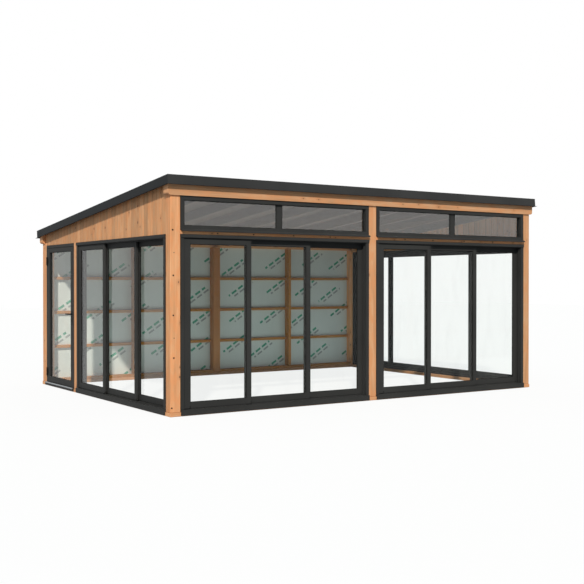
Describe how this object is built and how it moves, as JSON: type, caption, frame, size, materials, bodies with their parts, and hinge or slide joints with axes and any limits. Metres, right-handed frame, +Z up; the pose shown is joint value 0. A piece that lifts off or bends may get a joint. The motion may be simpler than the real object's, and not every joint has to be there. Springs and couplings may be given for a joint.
{
  "type": "garden office pod",
  "caption": "Timber-framed garden office with a single-pitch roof, dark sliding glass doors on three sides, clerestory windows above the front doors and a glazed side door.",
  "frame": {"origin": "middle of the roof's outline on the ground, under the sill plates", "axes": "+X along the long glazed front to the right seen from outside, +Y from the front to the back, +Z up"},
  "size_m": [5.856, 4.4551, 2.7081],
  "materials": {
    "timber": "stained pine",
    "cladding": "stained boards",
    "roof_boards": "planed",
    "membrane": "woven sheet",
    "roof_membrane": "matt",
    "roof_metal": "matt anthracite",
    "frame_metal": "satin anthracite powder coat",
    "glass": "clear",
    "threshold_metal": "anodised",
    "hardware": "satin black"
  },
  "bodies": {
    "pod": {"long_sills": "timber", "side_sills": "timber", "front_posts": "timber", "back_posts": "timber", "left_door_post": "timber", "front_beam": "timber", "back_beam": "timber", "transom_rails": "timber", "side_headers": "timber", "gable_cladding": "cladding", "back_cladding": "cladding", "wind_membrane": "membrane", "sole_plates": "timber", "wall_studs": "timber", "wall_noggings": "timber", "rafters": "timber", "roof_deck": "roof_boards", "roof_covering": "roof_membrane", "eaves_fascias": "roof_metal", "verge_fascias": "roof_metal", "clerestory_frames": "frame_metal", "clerestory_glass": "glass", "front_left_door_frame": "frame_metal", "front_right_door_frame": "frame_metal", "left_door_frame": "frame_metal", "right_door_frame": "frame_metal", "fixed_sashes": "frame_metal", "fixed_glass": "glass", "hinged_door_frame": "frame_metal", "door_threshold": "threshold_metal", "frame_hinges": "hardware"},
    "front_left_middle_leaf": {"front_left_middle_sash": "frame_metal", "front_left_middle_glass": "glass"},
    "front_left_inner_leaf": {"front_left_inner_sash": "frame_metal", "front_left_inner_glass": "glass"},
    "front_right_middle_leaf": {"front_right_middle_sash": "frame_metal", "front_right_middle_glass": "glass"},
    "front_right_inner_leaf": {"front_right_inner_sash": "frame_metal", "front_right_inner_glass": "glass"},
    "left_middle_leaf": {"left_middle_sash": "frame_metal", "left_middle_glass": "glass"},
    "left_inner_leaf": {"left_inner_sash": "frame_metal", "left_inner_glass": "glass"},
    "right_front_leaf": {"right_front_sash": "frame_metal", "right_front_glass": "glass"},
    "right_rear_leaf": {"right_rear_sash": "frame_metal", "right_rear_glass": "glass"},
    "hinged_door": {"hinged_door_sash": "frame_metal", "hinged_door_glass": "glass", "leaf_hinges": "hardware", "handle_plates": "hardware"},
    "lever": {"lever_handle": "hardware"}
  },
  "joints": [
    {"name": "front_left_middle_slide", "type": "slide", "parent": "pod", "child": "front_left_middle_leaf", "axis": [-1, 0, 0], "range_m": [0, 0.81883]},
    {"name": "front_left_inner_slide", "type": "slide", "parent": "pod", "child": "front_left_inner_leaf", "axis": [-1, 0, 0], "range_m": [0, 1.68767]},
    {"name": "front_right_middle_slide", "type": "slide", "parent": "pod", "child": "front_right_middle_leaf", "axis": [-1, 0, 0], "range_m": [0, 0.81883]},
    {"name": "front_right_inner_slide", "type": "slide", "parent": "pod", "child": "front_right_inner_leaf", "axis": [-1, 0, 0], "range_m": [0, 1.68767]},
    {"name": "left_middle_slide", "type": "slide", "parent": "pod", "child": "left_middle_leaf", "axis": [0, 1, 0], "range_m": [0, 0.848]},
    {"name": "left_inner_slide", "type": "slide", "parent": "pod", "child": "left_inner_leaf", "axis": [0, 1, 0], "range_m": [0, 1.746]},
    {"name": "right_front_slide", "type": "slide", "parent": "pod", "child": "right_front_leaf", "axis": [0, -1, 0], "range_m": [0, 0.9415]},
    {"name": "right_rear_slide", "type": "slide", "parent": "pod", "child": "right_rear_leaf", "axis": [0, 1, 0], "range_m": [0, 0.9415]},
    {"name": "hinged_door_swing", "type": "hinge", "parent": "pod", "child": "hinged_door", "pos_m": [-2.861, 1.92221, 1], "axis": [0, 0, -1], "range_deg": [0, 105]},
    {"name": "lever_turn", "type": "hinge", "parent": "hinged_door", "child": "lever", "pos_m": [-2.85, 0.93971, 1.069], "axis": [-1, 0, 0], "range_deg": [0, 40], "stiffness_Nm_per_rad": 1.5, "springref_deg": -28.65}
  ]
}
